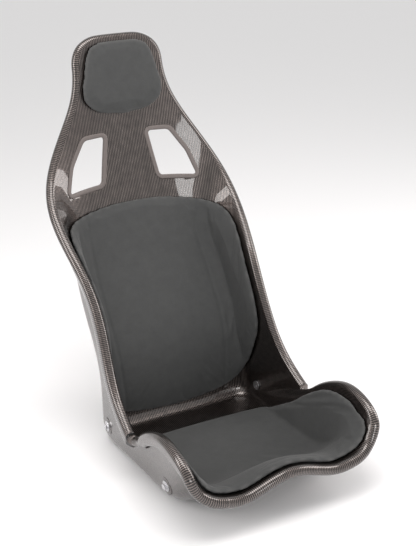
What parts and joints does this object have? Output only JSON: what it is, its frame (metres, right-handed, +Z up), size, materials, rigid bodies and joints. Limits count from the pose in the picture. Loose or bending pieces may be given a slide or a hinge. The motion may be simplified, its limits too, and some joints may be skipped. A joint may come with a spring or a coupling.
{
  "type": "racing seat",
  "caption": "Fixed-back carbon bucket seat with a rolled rim, shoulder and crotch belt slots, threaded side fixings and lift-off suede pads",
  "frame": {"origin": "on the floor, under the middle of the seat's bounding box, with the flat underside of the pan on the floor", "axes": "+Z up; the sitter faces -Y; +X is the sitter's left-hand side"},
  "size_m": [0.4628, 0.765, 0.8555],
  "materials": {
    "carbon": "clear-coated carbon twill laminate",
    "suede": "napped synthetic suede",
    "foam": "open-cell seat foam",
    "rubber_trim": "satin extruded rubber",
    "hook_tape": "woven hook-and-loop tape",
    "zinc_steel": "bright zinc-plated steel",
    "alloy": "turned alloy"
  },
  "bodies": {
    "shell": {"carbon_shell": "carbon", "belt_slot_trim_left": "rubber_trim", "belt_slot_trim_right": "rubber_trim", "crotch_slot_trim": "rubber_trim", "insert_rear_left": "alloy", "washer_rear_left": "zinc_steel", "bolt_rear_left": "zinc_steel", "insert_front_left": "alloy", "washer_front_left": "zinc_steel", "bolt_front_left": "zinc_steel", "insert_rear_right": "alloy", "washer_rear_right": "zinc_steel", "bolt_rear_right": "zinc_steel", "insert_front_right": "alloy", "washer_front_right": "zinc_steel", "bolt_front_right": "zinc_steel", "hook_tape_head_1_left": "hook_tape", "hook_tape_head_1_right": "hook_tape", "hook_tape_back_1_left": "hook_tape", "hook_tape_back_1_right": "hook_tape", "hook_tape_back_2_left": "hook_tape", "hook_tape_back_2_right": "hook_tape", "hook_tape_seat_1_left": "hook_tape", "hook_tape_seat_1_right": "hook_tape", "hook_tape_seat_2_left": "hook_tape", "hook_tape_seat_2_right": "hook_tape"},
    "head_pad": {"head_pad_cover": "suede", "head_pad_foam": "foam", "loop_tape_head_1_left": "hook_tape", "loop_tape_head_1_right": "hook_tape"},
    "back_pad": {"back_pad_cover": "suede", "back_pad_foam": "foam", "loop_tape_back_1_left": "hook_tape", "loop_tape_back_1_right": "hook_tape", "loop_tape_back_2_left": "hook_tape", "loop_tape_back_2_right": "hook_tape"},
    "seat_pad": {"seat_pad_cover": "suede", "seat_pad_foam": "foam", "loop_tape_seat_1_left": "hook_tape", "loop_tape_seat_1_right": "hook_tape", "loop_tape_seat_2_left": "hook_tape", "loop_tape_seat_2_right": "hook_tape"}
  },
  "joints": [
    {"name": "seat_pad_lift", "type": "slide", "parent": "shell", "child": "seat_pad", "axis": [0, -0.2, 0.9798], "range_m": [0, 0.12]},
    {"name": "back_pad_lift", "type": "slide", "parent": "shell", "child": "back_pad", "axis": [0, -0.5, 0.866], "range_m": [0, 0.2]},
    {"name": "head_pad_lift", "type": "slide", "parent": "shell", "child": "head_pad", "axis": [0, -0.9, 0.436], "range_m": [0, 0.15]}
  ]
}
